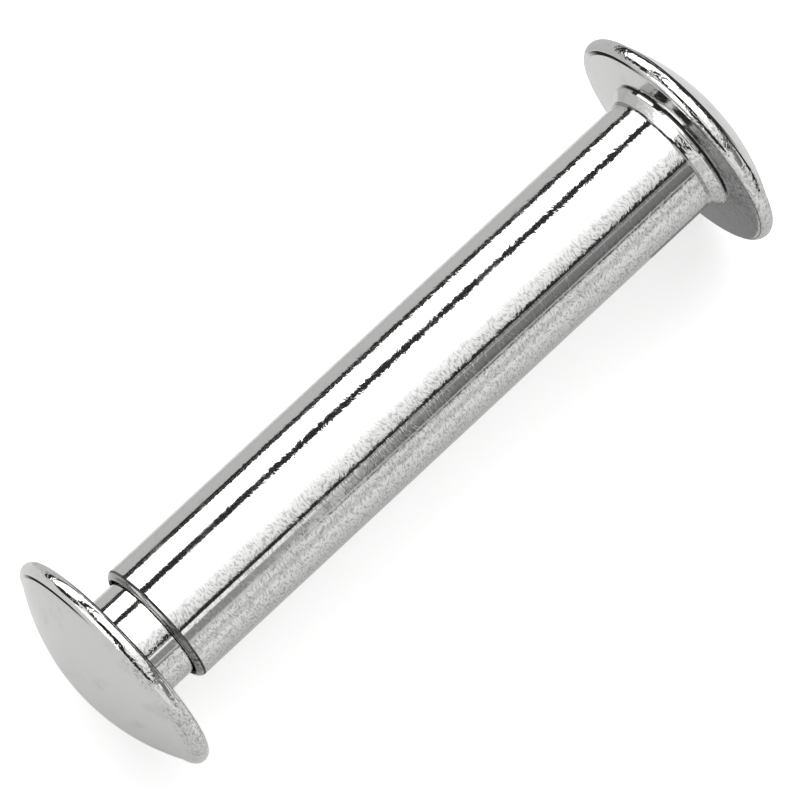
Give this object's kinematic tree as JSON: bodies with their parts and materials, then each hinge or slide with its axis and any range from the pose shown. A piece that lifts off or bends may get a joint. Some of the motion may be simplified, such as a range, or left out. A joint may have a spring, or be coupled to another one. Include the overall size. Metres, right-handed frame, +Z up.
{
  "type": "binding barrel screw",
  "caption": "Two-piece binding fastener: a hollow barrel with a low domed head, and a domed-head post whose plain shank slides into the barrel's mouth.",
  "frame": {"origin": "on the floor under the middle of the fastener, which lies on the rims of both heads", "axes": "+X along the shared axis towards the barrel's head, +Z up"},
  "size_m": [0.0314, 0.0094, 0.0095],
  "materials": {
    "barrel_plate": "bright nickel plate over turned steel, finely pitted",
    "post_plate": "bright nickel plate over headed steel, finely pitted"
  },
  "bodies": {
    "barrel": {"barrel": "barrel_plate"},
    "post": {"post": "post_plate"}
  },
  "joints": [
    {"name": "post_slide", "type": "slide", "parent": "barrel", "child": "post", "axis": [1, 0, 0], "range_m": [-0.03, 0.00155]}
  ]
}
